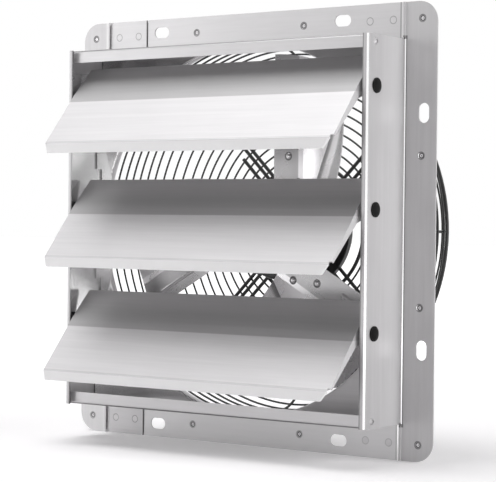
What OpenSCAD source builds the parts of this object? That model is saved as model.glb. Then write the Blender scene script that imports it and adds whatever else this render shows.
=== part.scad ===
// Window exhaust fan with a gravity louver shutter.
// Frame: origin at the centre of the mounting flange, on the face that seats on the wall.
// X runs across, Z runs up, the louvers face -Y and the wire guard faces +Y.

/* [Fan size] */
// Diameter of the fan, which sets the air opening, the box, the flange and the guard
fan_d = 304; // [250:1:360]
// Gap between the blade tips and the air opening
tip_gap = 6; // [5:0.5:8]
// How far the air opening reaches past the outside of the box on each side
side_lap = 3.5; // [1:0.5:6]

/* [Housing] */
// Width of the mounting flange round the box
flange_border = 29.5; // [27:0.5:36]
// Depth of the box in front of the flange face
box_d = 56; // [54:1:66]
// Thickness of the housing sheet
sheet = 1.2; // [1:0.1:1.5]
// Radius of the flange corners
flange_corner_r = 17; // [8:1:22]
// Width of the folded front lip of the side rails
side_lip_w = 5; // [3:0.5:5.5]
// Height of the folded front lip of the top and bottom rails
cross_lip_h = 10.5; // [8:0.5:11]
// How far the top and bottom lips sit behind the side lips
lip_setback = 4.5; // [2:0.5:6]

/* [Mounting slots] */
// Length of a mounting slot
slot_len = 16; // [12:0.5:18]
// Width of a mounting slot
slot_w = 9.5; // [6:0.5:10.5]
// Distance from the flange joint to the centre of the slot beside it
slot_joint_gap = 16.3; // [14:0.1:20]
// Distance from a slot's centre to the flange edge
slot_edge = 11.7; // [10:0.1:13]

/* [Fasteners] */
// Distance from the flange screws to the flange edge
screw_edge = 13.8; // [12:0.1:15]
// Distance from a slot's centre to the guard screw beside it, in the top and bottom flanges
end_screw_gap = 38.7; // [30:0.1:46]
// Distance from a slot's centre to the guard screw beside it, in the side flanges
side_screw_gap = 34; // [28:0.1:40]
// Shank diameter of the flange screws
screw_d = 3; // [2.5:0.1:3.5]
// Shank diameter of the sheet rivets
rivet_d = 3.2; // [2.4:0.1:4]
// Distance between the two rivets of one corner
rivet_pitch = 22; // [16:1:26]

/* [Orifice panel] */
// Depth of the panel's forward side flanges
panel_flange_d = 20; // [16:1:24]
// How much each notch sets the side flange back
notch_d = 8; // [5:1:12]

/* [Louvers] */
// Number of louvers
louver_n = 3; // [2:1:5]
// Gap between the top louver's edge and the top lip
top_gap = 4.7; // [4:0.1:8]
// Gap between one louver's lip and the louver below
row_gap = 2.3; // [1.5:0.1:5]
// Gap between the lowest lip and the bottom wall
bottom_gap = 3.3; // [2.5:0.1:8]
// Depth of the pivots behind the box front
pivot_depth = 12.8; // [12:0.1:15]
// Gap between a louver's end and the side wall
louver_end_gap = 6.6; // [6:0.1:9]
// Blade length above the pivot
louver_up = 25; // [22:0.1:25.4]
// Distance from the pivot to the louver's face
louver_offset = 9.4; // [8.5:0.1:10]
// Thickness of the louver sheet
louver_sheet = 1; // [0.8:0.1:1.2]
// Angle by which the louvers stand open, from closed
louver_open = 41.6; // [30:0.1:50]
// Diameter of the pivot pins
pin_d = 4; // [3:0.1:5]
// Diameter of the round caps over the pivots
cap_d = 12; // [11:0.5:13]

/* [Fan] */
// Thickness of the fan sheet
blade_sheet = 1.2; // [1:0.1:1.5]
// Depth of the fan's back plane behind the flange face
fan_y = 39.1; // [37:0.1:40]
// Width of the flat band along the leading edge
band_w = 31.5; // [30:0.5:38]
// Bend between the flat band and the curved part, in degrees
blade_bend = 8.5; // [6:0.5:12]
// Radius of the blade's curved part
blade_curve_r = 115; // [105:1:200]
// Diameter of the motor shaft
shaft_d = 10; // [8:0.5:10]

/* [Motor] */
// Outside diameter of the motor can
motor_d = 88; // [84:1:92]
// How far the motor's rear flange stands out past the can
motor_flange_w = 8; // [7:0.5:12]
// Distance from the fan's spider plate to the front of the motor
motor_gap = 4.9; // [4:0.1:8]
// Length of the motor
motor_len = 38.3; // [32:0.1:48]

/* [Guard] */
// Distance from the edge of the air opening to the guard's wall, at the wire's centre
guard_margin = 2.5; // [2.5:0.1:5]
// Radius of the guard's shoulder
shoulder_r = 38; // [32:1:42]
// Diameter of the ring wire
ring_wire_d = 1.7; // [1.5:0.1:2.4]
// Diameter of the carrying rods
rod_d = 3.2; // [2.8:0.1:3.8]
// Diameter of the thin spreader rods
spreader_d = 2.2; // [1.8:0.1:2.6]
// Ring spacing down the wall
wall_pitch = 10.1; // [9:0.1:12]
// Ring spacing over the flat back
flat_pitch = 8.6; // [8:0.1:10]
// Distance from the motor's rear flange out to the heavy ring round it
center_ring_gap = 8; // [6:0.5:12]

/* [Hidden] */
$fn = 64;
orifice_d = fan_d + 2 * tip_gap;
orifice_r = orifice_d / 2;
box_w = orifice_d - 2 * side_lap;
flange_w = box_w + 2 * flange_border;
half_fl = flange_w / 2;
half_box = box_w / 2;
wall_in = half_box - sheet;
overrun = 1;
seat_gap = 0.05;
seam_gap = 0.3;
hole_gap = 0.1;
fold_r = 2.4;

// Screw heads, nuts and rivets
screw_head_r = 2.9;
nut_r = 3.2;
nut_t = 2.4;
recess_w = 0.7;
recess_d = 0.7;
screw_sink = 0.35;
screw_recess_d = 0.5;
rivet_head_r = 2.7;
rivet_head_t = 0.9;
rivet_tail_r = 2.5;
pan_head_r = 2.8;
pan_head_t = 1.7;

// Corner joints of the flange, and the places that follow from them
splice_w = 42;
joint_gap = 0.9;
tongue_lap = 4;
layer_inset = 2;
wall_stub = 1.8;
bend_relief_r = 1.2;
slot_at = wall_in - seam_gap - splice_w - slot_joint_gap;
slot_pitch = 2 * slot_at;
guard_screw_x = slot_at - end_screw_gap;
guard_screw_z = slot_at - side_screw_gap;
end_tab_d = 14;
end_tab_w = 9;

// Orifice panel
panel_y = sheet;
panel_back = panel_y + sheet;
panel_gap = 0.2;
panel_tab_reach = 19;
panel_tab_w = 2 * (guard_screw_x + panel_tab_reach);
panel_tab_inset = 3;
orifice_lip = 2;
notch_up = 35;
notch_down = 20;

// Louver folds, in the closed position and seen from the pivot
crease_z = -8.7;
crease_out = 1.3;
lip_back = 7.2;
lip_drop = 5.2;
relief_w = 11.2;
relief_in = 3;
relief_up = 2.6;
ear_r = 6;
ear_taper = 1.4;
ear_foot = 1.8;
ear_shoulder = 3;
pin_head_r = 3.6;
pin_head_t = 1.5;
pin_gap = 0.7;
bush_r = 5.5;
bush_neck_r = 4.2;
bush_neck_out = 1;
bush_gap = 0.6;
bore_gap = 0.08;
cap_t = 3;
pivot_y = pivot_depth - box_d;
louver_end = wall_in - louver_end_gap;
top_pivot_z = half_box - cross_lip_h - top_gap - louver_up;
stack_h = top_pivot_z + louver_up + wall_in - bottom_gap;
louver_pitch = (stack_h + row_gap) / louver_n;
louver_down = louver_pitch - row_gap - lip_drop - louver_up;

// Blade outline, seen from the front with the leading edge upright
tip_r = fan_d / 2;
lead_x = 1;
root_z = 24;
trail_r = 105;
trail_cx = -17;
trail_cz = 92;
tip_round_r = 10;
blade_front = fan_y - blade_sheet;
blade_n = 3;
first_blade_a = 0;
blade_rivets_at = [[16, 63.5], [26.5, 41]];
bead_x = 11;
bead_gap = 26.5;
bead_tip_gap = 18;
bead_z = blade_rivets_at[0][1] + bead_gap;
bead_len = tip_r - bead_tip_gap - bead_z;
bead_r = 2.6;
bead_rise = 0.9;
blade_rivet_r = 1.9;
blade_rivet_head_r = 2.9;
blade_rivet_head_t = 1.3;

// Spider and hub
spider_t = 2;
spider_r = 27;
arm_a = 66;
hub_rivet_turn = 180;
hub_rivet_a = arm_a + hub_rivet_turn;
arm_w = 36;
arm_end_gap = 10.5;
arm_len = round(norm(blade_rivets_at[0]) + arm_end_gap - arm_w / 2);
hub_flange_r = 22;
hub_flange_t = 2.5;
hub_r = 11;
hub_len = 14;
hub_rivet_r = 1.6;
hub_rivet_at = 16.5;
set_screw_r = 2.5;
shaft_nose = 1.5;
run_gap = 0.05;
motor_front_y = fan_y + spider_t + motor_gap;

// Motor
motor_r = motor_d / 2;
bell_d = 8;
bell_t = 2.4;
can_t = 1.6;
boss_r = 14;
boss_out = 2.6;
bearing_r = 11;
bearing_w = 8;
bearing_lip = 1.2;
air_gap = 0.6;
stator_r = motor_r - can_t - seat_gap;
stator_w = 18.75;
rotor_r = stator_r - stator_w - air_gap;
core_inset = 3.5;
coil_step_in = 3.4;
coil_step_out = 4.35;
coil_in = rotor_r + air_gap + coil_step_in;
coil_out = stator_r - coil_step_out;
coil_len = 4.5;
vent_n = 8;
vent_w = 5;
vent_root = 5;
vent_rim = 10;
vent_in = boss_r + vent_root;
vent_out = motor_r - vent_rim;
mount_r = motor_r + motor_flange_w;
mount_t = 1.5;
mount_hole_gap = 3;
mount_hole_r = boss_r + mount_hole_gap;
mount_bolt_edge = 6;
mount_bolt_at = mount_r - mount_bolt_edge;
mount_bolt_r = 2;
mount_head_r = 3.6;
mount_head_t = 2.6;
gland_r = 6.5;
gland_nose_r = 4.6;
gland_bore_r = 2.6;
gland_len = 5;
gland_nose_len = 6;

// Guard
ring_r = ring_wire_d / 2;
rod_r = rod_d / 2;
spreader_r = spreader_d / 2;
foot_t = 1.5;
foot_w = 9;
foot_bar_w = 7;
foot_back = panel_back + foot_t;
base_y = foot_back + ring_r + seat_gap;
guard_r = orifice_r + guard_margin;
mount_y = motor_front_y + motor_len;
mount_back = mount_y + mount_t;
rod_y = mount_back + rod_r + seat_gap;
rod_in = ring_r + rod_r + seat_gap;
guard_y = rod_y + rod_in;
shoulder_y = guard_y - shoulder_r;
shoulder_cr = guard_r - shoulder_r;
shoulder_step = 13.1;
shoulder_start = 5.9;
spreader_in = ring_r + spreader_r + seat_gap;
center_ring_r = mount_r + center_ring_gap;
rod_offsets = [-9.5, -4.5];
stay_offset = 3;
rod_end_lap = 6;
grid = 0.01;
rod_start = panel_y + fold_r + orifice_lip + hole_gap;
stay_ring = 3;
spreader_end = shoulder_cr - 1.2 * flat_pitch;
wall_rings = floor((shoulder_y - base_y) / wall_pitch);
shoulder_rings = floor((90 - shoulder_start) / shoulder_step) + 1;
flat_start = shoulder_cr + shoulder_r * cos(90 - (90 - shoulder_start) % shoulder_step) - flat_pitch;
flat_rings = floor((flat_start - center_ring_r - rod_d) / flat_pitch) + 1;
stay_end = flat_start - stay_ring * flat_pitch + ring_r;

// Places of the flange screws: [x, z, depth of the nut's seat]
corner_at = half_fl - screw_edge;
corner_screws_at = [for (sx = [-1, 1], sz = [-1, 1]) [sx * corner_at, sz * corner_at, panel_back]];
end_screws_at = [for (sx = [-1, 1], sz = [-1, 1]) [sx * guard_screw_x, sz * corner_at, foot_back]];
side_screws_at = [for (sx = [-1, 1], sz = [-1, 1]) [sx * corner_at, sz * guard_screw_z, sheet + foot_t]];
corner_rivet_mid = wall_in - seam_gap - splice_w / 2;
corner_rivets_x = [corner_rivet_mid - rivet_pitch / 2, corner_rivet_mid + rivet_pitch / 2];
pivots_z = [for (i = [0:louver_n - 1]) top_pivot_z - i * louver_pitch];
housing_screw_y = -(box_d - lip_setback - end_tab_d / 2 + sheet / 2);
housing_screw_z = wall_in - end_tab_w / 2;

// Helpers: a drawing is extruded along X or Y, or turned about an axis
module along_y(y0, y1) {
    translate([0, y1, 0]) rotate([90, 0, 0]) linear_extrude(height = y1 - y0) children();
}

module along_x(x0, x1) {
    translate([x0, 0, 0]) rotate([90, 0, 90]) linear_extrude(height = x1 - x0) children();
}

module around_y() {
    rotate([-90, 0, 0]) rotate_extrude() children();
}

module around_x() {
    rotate([0, 90, 0]) rotate_extrude() children();
}

module turned(a) {
    rotate([0, -a, 0]) children();
}

module slot_2d(len, w) {
    square([len - w, w], center = true);
    for (s = [-1, 1]) translate([s * (len - w) / 2, 0]) circle(d = w);
}

module rounded_square_2d(w, r) {
    square([w - 2 * r, w], center = true);
    square([w, w - 2 * r], center = true);
    for (sx = [-1, 1], sy = [-1, 1]) translate([sx * (w / 2 - r), sy * (w / 2 - r)]) circle(r = r);
}

// A quarter bend of sheet: outer radius fold_r, its centre at the origin, in the first quadrant
module bend_2d() {
    intersection() {
        difference() {
            circle(r = fold_r);
            circle(r = fold_r - sheet);
        }
        square(fold_r + overrun);
    }
}

module mounting_slot(x, z, upright) {
    along_y(-overrun, sheet + overrun) translate([x, z]) rotate(upright ? 90 : 0) slot_2d(slot_len, slot_w);
}

// Countersunk seat of a flange screw, with its clearance hole
module screw_seat(p) {
    around_y_at(p) {
        polygon([[0, -overrun], [screw_head_r + overrun, -overrun], [screw_d / 2 + hole_gap, sheet],
            [screw_d / 2 + hole_gap, foot_back + overrun], [0, foot_back + overrun]]);
    }
}

module around_y_at(p) {
    translate([p[0], 0, p[1]]) around_y() children();
}

// Countersunk seat of a flush rivet in the front sheet
module rivet_seat(p) {
    r = rivet_d / 2 + seat_gap;
    around_y_at(p) polygon([[0, -overrun], [rivet_head_r + seat_gap, -overrun], [rivet_head_r + seat_gap, 0],
        [r, rivet_head_t], [r, foot_back + overrun], [0, foot_back + overrun]]);
}

module plain_hole(p, r) {
    along_y(-overrun, foot_back + overrun) translate([p[0], p[1]]) circle(r = r);
}

// Side rail: a front lip, the box wall and the flange, folded from one sheet
module side_rail_profile() {
    translate([wall_in, fold_r - box_d]) square([sheet, box_d + sheet - 2 * fold_r]);
    translate([half_box - side_lip_w, -box_d]) square([side_lip_w - fold_r, sheet]);
    translate([half_box - fold_r, fold_r - box_d]) mirror([0, 1]) bend_2d();
    translate([wall_in + fold_r, sheet - fold_r]) mirror([1, 0]) bend_2d();
    translate([wall_in + fold_r, 0]) square([half_fl - wall_in - fold_r, sheet]);
}

module side_rail() {
    color("gainsboro") difference() {
        intersection() {
            translate([0, 0, -half_fl]) linear_extrude(height = flange_w) side_rail_profile();
            along_y(-box_d - overrun, sheet + overrun) rounded_square_2d(flange_w, flange_corner_r);
        }
        for (s = [0, 1]) mirror([0, 0, s]) translate([0, -box_d - overrun, half_box])
            cube([half_fl, box_d + overrun - wall_stub, half_fl]);
        for (s = [-1, 1]) along_x(0, half_fl) translate([-wall_stub, s * half_box]) circle(r = bend_relief_r);
        for (s = [-1, 1]) mounting_slot(half_fl - slot_edge, s * slot_pitch / 2, true);
        for (p = corner_screws_at) screw_seat(p);
        for (p = side_screws_at) screw_seat(p);
        for (z = pivots_z) along_x(0, half_fl) translate([pivot_y, z]) circle(r = bush_neck_r + seat_gap);
        for (s = [-1, 1]) along_x(0, half_fl) translate([housing_screw_y, s * housing_screw_z])
            circle(d = screw_d + 2 * hole_gap);
    }
}

module right_rail() {
    side_rail();
}

module left_rail() {
    mirror([1, 0, 0]) side_rail();
}

// Top or bottom rail: lip, box wall and flange, with a set-back tongue under the splice plate
module cross_rail_profile() {
    front = lip_setback - box_d;
    translate([front + fold_r, wall_in]) square([-front + sheet - 2 * fold_r, sheet]);
    translate([front, half_box - cross_lip_h]) square([sheet, cross_lip_h - fold_r]);
    translate([front + fold_r, half_box - fold_r]) mirror([1, 0]) bend_2d();
    translate([sheet - fold_r, wall_in + fold_r]) mirror([0, 1]) bend_2d();
    translate([0, wall_in + fold_r]) square([sheet, half_fl - wall_in - fold_r]);
}

module cross_rail() {
    end_x = wall_in - seam_gap;
    splice_x = splice_w - end_x;
    tab_y = lip_setback - box_d;
    color("gainsboro") difference() {
        union() {
            difference() {
                along_x(-end_x, end_x) cross_rail_profile();
                translate([-half_fl, -wall_stub, half_box]) cube([half_fl + splice_x + joint_gap, half_fl, half_fl]);
            }
            translate([-half_fl + layer_inset, sheet, half_box + seam_gap])
                cube([half_fl - layer_inset + splice_x + tongue_lap, sheet, half_fl - half_box - seam_gap - layer_inset]);
            for (s = [0, 1]) mirror([s, 0, 0]) translate([end_x - sheet, tab_y, wall_in - end_tab_w])
                cube([sheet, end_tab_d, end_tab_w + sheet / 2]);
        }
        along_y(sheet - seat_gap, panel_back + overrun) difference() {
            square(2 * flange_w, center = true);
            rounded_square_2d(flange_w - 2 * layer_inset, flange_corner_r - layer_inset);
        }
        for (s = [-1, 1]) mounting_slot(s * slot_pitch / 2, half_fl - slot_edge, false);
        for (p = end_screws_at) screw_seat(p);
        for (p = corner_screws_at) plain_hole(p, screw_d / 2 + hole_gap);
        for (x = corner_rivets_x) {
            plain_hole([-x, corner_at], rivet_d / 2 + seat_gap);
            rivet_seat([x, corner_at]);
        }
        along_x(-half_fl, half_fl) translate([housing_screw_y, housing_screw_z]) circle(d = screw_d + 2 * hole_gap);
    }
}

module top_rail() {
    cross_rail();
}

module bottom_rail() {
    mirror([0, 0, 1]) cross_rail();
}

// Flat plates that close the flange's two left-hand joints
module splice_plates() {
    x0 = seam_gap - wall_in;
    for (s = [0, 1]) mirror([0, 0, s]) color("gainsboro") difference() {
        translate([x0, 0, half_box + seam_gap]) cube([splice_w - seam_gap, sheet - seat_gap, half_fl - half_box - seam_gap]);
        for (x = corner_rivets_x) rivet_seat([-x, corner_at]);
    }
}

// Gussets behind the two right-hand corners
module corner_gussets() {
    x0 = corner_rivets_x[0] - screw_edge + layer_inset;
    for (s = [0, 1]) mirror([0, 0, s]) color("lightgray") difference() {
        intersection() {
            translate([x0, sheet, half_box + seam_gap]) cube([half_fl, sheet, half_fl]);
            along_y(0, panel_back) rounded_square_2d(flange_w - 2 * layer_inset, flange_corner_r - layer_inset);
        }
        for (x = corner_rivets_x) plain_hole([x, corner_at], rivet_d / 2 + seat_gap);
        for (p = corner_screws_at) plain_hole(p, screw_d / 2 + hole_gap);
    }
}

// Panel with the round air opening, its rolled edge and the notched side flanges
module orifice_panel() {
    edge_x = wall_in - panel_gap;
    edge_z = half_box - panel_gap;
    color("silver") difference() {
        union() {
            along_y(panel_y, panel_back) difference() {
                union() {
                    square([2 * edge_x, 2 * edge_z], center = true);
                    square([panel_tab_w, flange_w - 2 * panel_tab_inset], center = true);
                }
                circle(r = orifice_r + fold_r);
            }
            around_y() {
                translate([orifice_r + fold_r, panel_y + fold_r]) mirror([1, 0]) mirror([0, 1]) bend_2d();
                translate([orifice_r, panel_y + fold_r]) square([sheet, orifice_lip]);
            }
            for (s = [0, 1]) mirror([s, 0, 0])
                translate([edge_x - sheet, panel_back - panel_flange_d - sheet, panel_gap - wall_in])
                    cube([sheet, panel_flange_d + sheet, 2 * (wall_in - panel_gap)]);
        }
        for (z = pivots_z) translate([-half_box, -panel_flange_d - box_d, z - notch_down])
            cube([box_w, box_d + notch_d, notch_up + notch_down]);
        for (p = end_screws_at) plain_hole(p, screw_d / 2 + hole_gap);
    }
}

// Flush rivets in the flange corners, so that the flange seats flat on the wall
module corner_rivets() {
    r = rivet_d / 2;
    for (sx = [-1, 1], sz = [-1, 1], x = corner_rivets_x) color("whitesmoke")
        around_y_at([sx * x, sz * corner_at]) polygon([[0, 0], [rivet_head_r, 0], [r, rivet_head_t], [r, panel_back],
            [rivet_tail_r, panel_back], [rivet_tail_r, panel_back + rivet_head_t], [0, panel_back + rivet_head_t]]);
}

// Half section of a rivet: a domed head in front of y0 and a flat tail behind y1
module rivet_profile(r, head_r, head_t, y0, y1) {
    translate([0, y0 - head_t / 2]) square([r, y1 - y0 + head_t]);
    intersection() {
        translate([0, y0 + dome_r(head_r, head_t) - head_t]) circle(r = dome_r(head_r, head_t));
        translate([0, y0 - head_t]) square([head_r, head_t]);
    }
    translate([0, y1]) square([head_r - head_t / 4, head_t]);
}

function dome_r(r, h) = (r * r + h * h) / (2 * h);

// Countersunk screws, a little below the face, with a cross recess
module flush_screw(p) {
    len = p[2] + nut_t + screw_d / 4;
    rim = screw_head_r - hole_gap;
    top_r = rim - screw_sink * (rim - screw_d / 2) / (sheet - hole_gap);
    color("silver") translate([p[0], 0, p[1]]) difference() {
        around_y() polygon([[0, screw_sink], [top_r, screw_sink], [screw_d / 2, sheet - hole_gap],
            [screw_d / 2, len], [0, len]]);
        for (a = [45, 135]) rotate([0, a, 0]) translate([-screw_d / 2, screw_sink - overrun, -recess_w / 2])
            cube([screw_d, screw_recess_d + overrun, recess_w]);
    }
}

module corner_screws() {
    for (p = corner_screws_at) flush_screw(p);
}

module guard_screws() {
    for (p = end_screws_at) flush_screw(p);
    for (p = side_screws_at) flush_screw(p);
}

module flange_nuts() {
    for (p = concat(corner_screws_at, end_screws_at, side_screws_at)) color("silver")
        along_y(p[2], p[2] + nut_t) translate([p[0], p[1]]) difference() {
            circle(r = nut_r, $fn = 6);
            circle(r = screw_d / 2 + seat_gap);
        }
}

// Pan head screws through the side walls into the end tabs of the cross rails
module housing_screws() {
    for (sx = [0, 1], sz = [-1, 1]) mirror([sx, 0, 0]) color("silver") difference() {
        translate([0, housing_screw_y, sz * housing_screw_z]) around_x() {
            translate([0, wall_in - 2 * sheet - seam_gap]) square([screw_d / 2, 3 * sheet + seam_gap]);
            intersection() {
                translate([0, half_box + pan_head_t - dome_r(pan_head_r, pan_head_t)])
                    circle(r = dome_r(pan_head_r, pan_head_t));
                translate([0, half_box]) square([pan_head_r, pan_head_t]);
            }
        }
        for (a = [45, 135]) translate([half_box + pan_head_t - recess_d, housing_screw_y, sz * housing_screw_z])
            rotate([a, 0, 0]) translate([0, -screw_d / 2, -recess_w / 2]) cube([pan_head_t, screw_d, recess_w]);
    }
}

// Louver section in the closed position, seen along +X with the pivot at the origin.
// Each fold line is a point of the outer face, and the sheet lies behind it.
louver_top = [-louver_offset, louver_up];
louver_crease = [-louver_offset - crease_out, crease_z];
louver_fold = [-louver_offset, -louver_down];
louver_tip = [lip_back - louver_offset, -louver_down - lip_drop];

// Unit normal to the left of the line from p to q, and the point at depth t behind a bend at q
function left_of(p, q) = let (d = (q - p) / norm(q - p)) [-d[1], d[0]];

function behind(p, q, r, t) = let (m = left_of(p, q), n = left_of(q, r)) q + t * (m + n) / (1 + m * n);

module louver_section_2d() {
    polygon([louver_top, louver_crease, louver_fold, louver_tip,
        louver_tip + louver_sheet * left_of(louver_fold, louver_tip),
        behind(louver_crease, louver_fold, louver_tip, louver_sheet),
        behind(louver_top, louver_crease, louver_fold, louver_sheet),
        louver_top + louver_sheet * left_of(louver_top, louver_crease)]);
}

// The end ear starts inside the sheet, is deep at the pivot and tapers to the lip
module louver_ear_2d() {
    half = louver_sheet / 2;
    polygon([louver_top + [half, -half], behind(louver_top, louver_crease, louver_fold, half),
        louver_fold + [half, half], louver_fold + [ear_foot, half],
        louver_crease + [ear_r + ear_taper, crease_z], [ear_r - ear_shoulder, -ear_r],
        [ear_r - ear_shoulder, ear_r], louver_top + [ear_foot, -half]]);
    circle(r = ear_r);
}

module at_pivot(i) {
    translate([0, pivot_y, pivots_z[i]]) rotate([-louver_open, 0, 0]) children();
}

module louver(i) {
    at_pivot(i) color("whitesmoke") difference() {
        union() {
            along_x(-louver_end, louver_end) louver_section_2d();
            for (s = [0, 1]) mirror([s, 0, 0]) along_x(louver_end - louver_sheet, louver_end) louver_ear_2d();
        }
        translate([louver_end, 0, -louver_down - lip_drop]) rotate([90, 0, 0])
            linear_extrude(height = 4 * louver_offset, center = true) lip_relief_2d();
        along_x(-half_box, half_box) circle(d = pin_d + 2 * seat_gap);
    }
}

// Slanted relief at the lip's right-hand end, up past the fold
module lip_relief_2d() {
    polygon([[overrun, -overrun], [-relief_w, -overrun], [-relief_w, 0], [-relief_in, lip_drop],
        [-relief_in, lip_drop + relief_up], [overrun, lip_drop + relief_up]]);
}

module top_louver() {
    louver(0);
}

module middle_louver() {
    louver(1);
}

module bottom_louver() {
    louver(2);
}

// Headed pins riveted through the louver's end ears
module louver_pins(i) {
    at_pivot(i) for (s = [0, 1]) mirror([s, 0, 0]) color("dimgray") {
        around_x() {
            translate([0, louver_end - louver_sheet - pin_head_t]) square([pin_head_r, pin_head_t]);
            translate([0, louver_end - louver_sheet]) square([pin_d / 2, louver_sheet + louver_end_gap - pin_gap]);
        }
    }
}

module top_louver_pins() {
    louver_pins(0);
}

module middle_louver_pins() {
    louver_pins(1);
}

module bottom_louver_pins() {
    louver_pins(2);
}

// Nylon bushings: a boss inside the wall and a neck through it, with a blind bore
module pivot_bushings() {
    for (z = pivots_z, s = [0, 1]) mirror([s, 0, 0]) color("black") translate([0, pivot_y, z]) around_x() {
        translate([pin_d / 2 + bore_gap, louver_end + bush_gap])
            square([bush_r - pin_d / 2 - bore_gap, louver_end_gap - bush_gap]);
        translate([pin_d / 2 + bore_gap, wall_in - sheet]) square([bush_neck_r - pin_d / 2 - bore_gap, 2 * sheet]);
        translate([0, half_box]) square([bush_neck_r, bush_neck_out]);
    }
}

// Round caps pressed on the bushing necks outside the walls
module pivot_caps() {
    dome = dome_r(cap_d / 2, cap_t);
    for (z = pivots_z, s = [0, 1]) mirror([s, 0, 0]) color("black") translate([0, pivot_y, z]) around_x() difference() {
        intersection() {
            union() {
                translate([0, half_box + cap_t - dome]) circle(r = dome);
                translate([0, half_box]) square([cap_d / 2, cap_t / 3]);
            }
            translate([0, half_box]) square([cap_d / 2, cap_t]);
        }
        translate([-overrun, half_box - overrun]) square([bush_neck_r + seat_gap + overrun, bush_neck_out + seat_gap + overrun]);
    }
}

// Guard rings
module guard_ring(r, y, wire_r) {
    color("black") around_y() translate([r, y]) circle(r = wire_r);
}

module guard_side_rings() {
    for (i = [0:wall_rings]) guard_ring(guard_r, base_y + i * wall_pitch, ring_r);
    for (i = [0:shoulder_rings - 1]) {
        a = shoulder_start + i * shoulder_step;
        guard_ring(shoulder_cr + shoulder_r * cos(a), shoulder_y + shoulder_r * sin(a), ring_r);
    }
}

module guard_back_rings() {
    for (i = [0:flat_rings - 1]) guard_ring(flat_start - i * flat_pitch, guard_y, ring_r);
}

module guard_center_ring() {
    guard_ring(center_ring_r, rod_y + 2 * rod_r + seat_gap, rod_r);
}

// A rod runs down the wall, over the shoulder and in along the back, inside the rings
module guard_rod(offset, wire_r, inset, end_s) {
    s = round(sqrt(pow(guard_r - inset, 2) - offset * offset) / grid) * grid;
    bend = shoulder_r - inset;
    color("black") translate([0, 0, offset]) {
        along_y(rod_start, shoulder_y) translate([s, 0]) circle(r = wire_r);
        translate([s - bend, shoulder_y, 0]) rotate_extrude(angle = 90) translate([bend, 0]) circle(r = wire_r);
        along_x(end_s, s - bend) translate([guard_y - inset, 0]) circle(r = wire_r);
    }
}

module guard_rods() {
    for (a = [45, 135, 225, 315], t = rod_offsets) turned(a) guard_rod(t, rod_r, rod_in, mount_r - rod_end_lap);
}

// Short stays beside the rods, from one of the flat rings to the motor plate
module guard_stays() {
    for (a = [45, 135, 225, 315]) turned(a) color("black") translate([0, 0, stay_offset])
        along_x(mount_r - rod_end_lap, stay_end) translate([rod_y, 0]) circle(r = rod_r);
}

module guard_spreaders() {
    for (a = [0, 90, 180, 270]) turned(a) guard_rod(0, spreader_r, spreader_in, spreader_end);
}

// Feet: an eye on the flange joined to a bar that carries the guard's first ring
module guard_foot(p) {
    bar_in = orifice_r + fold_r + hole_gap;
    bar_out = norm([p[0], p[1]]) - nut_r - hole_gap;
    seat = p[2] - foot_t;
    color("black") difference() {
        union() {
            along_y(seat, p[2]) translate([p[0], p[1]]) circle(d = foot_w);
            turned(atan2(p[1], p[0])) {
                translate([bar_in, panel_back, -foot_bar_w / 2]) cube([bar_out - bar_in, foot_t, foot_bar_w]);
                translate([bar_out - foot_t, seat, -foot_bar_w / 2]) cube([foot_t, foot_back - seat, foot_bar_w]);
            }
        }
        plain_hole(p, screw_d / 2 + hole_gap);
    }
}

module guard_feet() {
    for (p = concat(end_screws_at, side_screws_at)) guard_foot(p);
}

// Plate that carries the motor on the guard's rods
module motor_plate() {
    color("silver") along_y(mount_y, mount_back) difference() {
        circle(r = mount_r);
        circle(r = mount_hole_r);
        for (a = [0:90:270]) rotate(a) translate([mount_bolt_at, 0]) circle(r = mount_bolt_r + seat_gap);
    }
}

module motor_bolts() {
    flange_t = bell_t + sheet;
    for (a = [0:90:270]) turned(a) translate([mount_bolt_at, 0, 0]) color("silver") {
        around_y() translate([0, mount_y - flange_t]) square([mount_bolt_r, flange_t + mount_t + mount_head_t / 2]);
        along_y(mount_back, mount_back + mount_head_t) circle(r = mount_head_r, $fn = 6);
    }
}

// Motor shells, each a turned part
bell_back = mount_y - seat_gap;
can_front = motor_front_y + bell_d;
can_back = bell_back - bell_d;

module vents(y0, y1) {
    for (i = [0:vent_n - 1]) turned(360 / vent_n * (i + 0.5)) along_y(y0, y1)
        translate([(vent_in + vent_out) / 2, 0]) slot_2d(vent_out - vent_in, vent_w);
}

module motor_front_bell() {
    color("black") difference() {
        around_y() difference() {
            union() {
                translate([0, motor_front_y]) square([motor_r - fold_r, bell_d]);
                translate([0, motor_front_y + fold_r]) square([motor_r, bell_d - fold_r]);
                translate([motor_r - fold_r, motor_front_y + fold_r]) circle(r = fold_r);
                translate([0, motor_front_y - boss_out]) square([boss_r, bell_d + boss_out + bearing_lip]);
            }
            difference() {
                translate([0, motor_front_y + bell_t]) square([motor_r - can_t, bell_d]);
                square([boss_r, can_front + bearing_lip]);
            }
            bearing_seat(motor_front_y - boss_out + bearing_lip, can_front + bearing_lip + overrun);
            translate([0, 0]) square([shaft_d / 2 + 2 * run_gap + bearing_lip, can_front]);
        }
        vents(motor_front_y - overrun, motor_front_y + bell_t + overrun);
    }
}

module bearing_seat(y0, y1) {
    translate([0, y0]) square([bearing_r + seat_gap, y1 - y0]);
}

module motor_can() {
    color("black") difference() {
        around_y() translate([motor_r - can_t, can_front]) square([can_t, can_back - can_front]);
        translate([0, (can_front + can_back) / 2, -motor_r - overrun]) cylinder(r = gland_bore_r, h = can_t + 2 * overrun);
    }
}

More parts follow.
